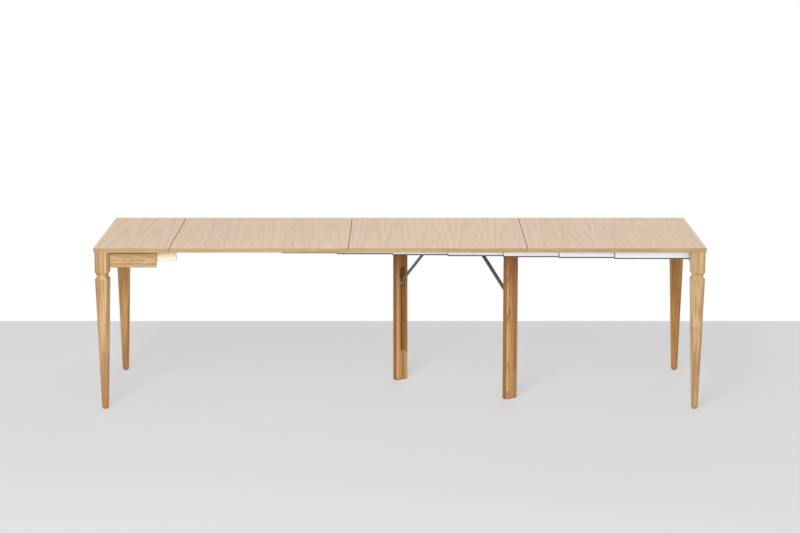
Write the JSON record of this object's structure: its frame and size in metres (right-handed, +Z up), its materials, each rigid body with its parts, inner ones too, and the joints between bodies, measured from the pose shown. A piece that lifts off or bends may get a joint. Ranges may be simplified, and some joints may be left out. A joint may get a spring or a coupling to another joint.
{
  "type": "extendable console table",
  "caption": "Extendable console table drawn out on telescopic rails, with loose leaves, tapered corner legs and folding centre legs held by struts.",
  "frame": {"origin": "on the floor under the middle of the drawn-out tabletop", "axes": "+X along the table towards the end that pulls out, -Y the front, +Z up"},
  "size_m": [2.84, 0.9, 0.77],
  "materials": {
    "oak_top": "matt oak veneer",
    "oak_frame": "matt oak veneer",
    "pale_wood": "plain planed",
    "rail_aluminium": "satin anodised",
    "zinc_steel": "zinc plated",
    "dark_steel": "dark grey",
    "dark_plastic": "matt"
  },
  "bodies": {
    "console_frame": {"fixed_top": "oak_top", "left_front_leg": "oak_frame", "left_rear_leg": "oak_frame", "front_apron": "oak_frame", "rear_apron": "oak_frame", "end_apron": "oak_frame", "front_bearer": "pale_wood", "rear_bearer": "pale_wood", "cross_rail": "rail_aluminium", "corner_angles": "zinc_steel", "rail_angles": "zinc_steel", "frame_screws": "zinc_steel", "left_glides": "dark_plastic", "rail_10_front": "rail_aluminium", "rail_10_rear": "rail_aluminium"},
    "pull_out_end": {"right_front_leg": "oak_frame", "right_rear_leg": "oak_frame", "right_glides": "dark_plastic", "rail_1_front": "rail_aluminium", "rail_1_rear": "rail_aluminium", "hook_channels": "rail_aluminium", "rail_bolts": "zinc_steel"},
    "near_leaf": {"near_leaf_top": "oak_top", "near_leaf_cleats": "pale_wood"},
    "middle_leaf": {"middle_leaf_top": "oak_top", "middle_leaf_cleats": "pale_wood", "hinge_brackets": "zinc_steel", "hinge_pins": "zinc_steel", "strut_brackets": "zinc_steel", "strut_pins": "zinc_steel", "bracket_screws": "zinc_steel"},
    "end_leaf": {"end_leaf_top": "oak_top", "end_leaf_cleats": "pale_wood", "end_tie": "rail_aluminium", "tie_screws": "zinc_steel"},
    "rail_stage_2": {"rail_2_front": "rail_aluminium", "rail_2_rear": "rail_aluminium"},
    "rail_stage_3": {"rail_3_front": "rail_aluminium", "rail_3_rear": "rail_aluminium"},
    "rail_stage_4": {"rail_4_front": "rail_aluminium", "rail_4_rear": "rail_aluminium"},
    "rail_stage_5": {"rail_5_front": "rail_aluminium", "rail_5_rear": "rail_aluminium"},
    "rail_stage_6": {"rail_6_front": "rail_aluminium", "rail_6_rear": "rail_aluminium"},
    "rail_stage_7": {"rail_7_front": "rail_aluminium", "rail_7_rear": "rail_aluminium"},
    "rail_stage_8": {"rail_8_front": "rail_aluminium", "rail_8_rear": "rail_aluminium"},
    "rail_stage_9": {"rail_9_front": "rail_aluminium", "rail_9_rear": "rail_aluminium"},
    "rear_leg_unit": {"rear_centre_leg": "oak_frame", "rear_foot_pad": "dark_plastic"},
    "rear_strut_unit": {"rear_strut": "dark_steel", "rear_roller": "zinc_steel"},
    "front_leg_unit": {"front_centre_leg": "oak_frame", "front_foot_pad": "dark_plastic"},
    "front_strut_unit": {"front_strut": "dark_steel", "front_roller": "zinc_steel"}
  },
  "joints": [
    {"name": "extension_slide", "type": "slide", "parent": "console_frame", "child": "pull_out_end", "axis": [-1, 0, 0], "range_m": [0, 2.331]},
    {"name": "rail_2_slide", "type": "slide", "parent": "console_frame", "child": "rail_stage_2", "axis": [-1, 0, 0], "range_m": [0, 2.072]},
    {"name": "rail_3_slide", "type": "slide", "parent": "console_frame", "child": "rail_stage_3", "axis": [-1, 0, 0], "range_m": [0, 1.813]},
    {"name": "rail_4_slide", "type": "slide", "parent": "console_frame", "child": "rail_stage_4", "axis": [-1, 0, 0], "range_m": [0, 1.554]},
    {"name": "rail_5_slide", "type": "slide", "parent": "console_frame", "child": "rail_stage_5", "axis": [-1, 0, 0], "range_m": [0, 1.295]},
    {"name": "rail_6_slide", "type": "slide", "parent": "console_frame", "child": "rail_stage_6", "axis": [-1, 0, 0], "range_m": [0, 1.036]},
    {"name": "rail_7_slide", "type": "slide", "parent": "console_frame", "child": "rail_stage_7", "axis": [-1, 0, 0], "range_m": [0, 0.777]},
    {"name": "rail_8_slide", "type": "slide", "parent": "console_frame", "child": "rail_stage_8", "axis": [-1, 0, 0], "range_m": [0, 0.518]},
    {"name": "rail_9_slide", "type": "slide", "parent": "console_frame", "child": "rail_stage_9", "axis": [-1, 0, 0], "range_m": [0, 0.259]},
    {"name": "near_leaf_lift", "type": "slide", "parent": "console_frame", "child": "near_leaf", "axis": [0, 0, 1], "range_m": [0, 0.3]},
    {"name": "middle_leaf_lift", "type": "slide", "parent": "console_frame", "child": "middle_leaf", "axis": [0, 0, 1], "range_m": [0, 0.8]},
    {"name": "end_leaf_lift", "type": "slide", "parent": "console_frame", "child": "end_leaf", "axis": [0, 0, 1], "range_m": [0, 0.3]},
    {"name": "rear_leg_fold", "type": "hinge", "parent": "middle_leaf", "child": "rear_leg_unit", "pos_m": [0.0016, 0.20343, 0.725], "axis": [-0.7071, -0.7071, 0], "range_deg": [0, 90]},
    {"name": "rear_strut_swing", "type": "hinge", "parent": "middle_leaf", "child": "rear_strut_unit", "pos_m": [0.16494, 0.04009, 0.725], "axis": [-0.7071, -0.7071, 0], "range_deg": [0, 133.79]},
    {"name": "front_leg_fold", "type": "hinge", "parent": "middle_leaf", "child": "front_leg_unit", "pos_m": [0.525, -0.20343, 0.725], "axis": [0.7071, 0.7071, 0], "range_deg": [0, 90]},
    {"name": "front_strut_swing", "type": "hinge", "parent": "middle_leaf", "child": "front_strut_unit", "pos_m": [0.36166, -0.04009, 0.725], "axis": [0.7071, 0.7071, 0], "range_deg": [0, 133.79]}
  ],
  "couplings": [
    {"joint": "rail_2_slide", "follows": "extension_slide", "ratio": 0.88889},
    {"joint": "rail_3_slide", "follows": "extension_slide", "ratio": 0.77778},
    {"joint": "rail_4_slide", "follows": "extension_slide", "ratio": 0.66667},
    {"joint": "rail_5_slide", "follows": "extension_slide", "ratio": 0.55556},
    {"joint": "rail_6_slide", "follows": "extension_slide", "ratio": 0.44444},
    {"joint": "rail_7_slide", "follows": "extension_slide", "ratio": 0.33333},
    {"joint": "rail_8_slide", "follows": "extension_slide", "ratio": 0.22222},
    {"joint": "rail_9_slide", "follows": "extension_slide", "ratio": 0.11111},
    {"joint": "rear_strut_swing", "follows": "rear_leg_fold", "ratio": 1.4865},
    {"joint": "front_strut_swing", "follows": "front_leg_fold", "ratio": 1.4865}
  ]
}
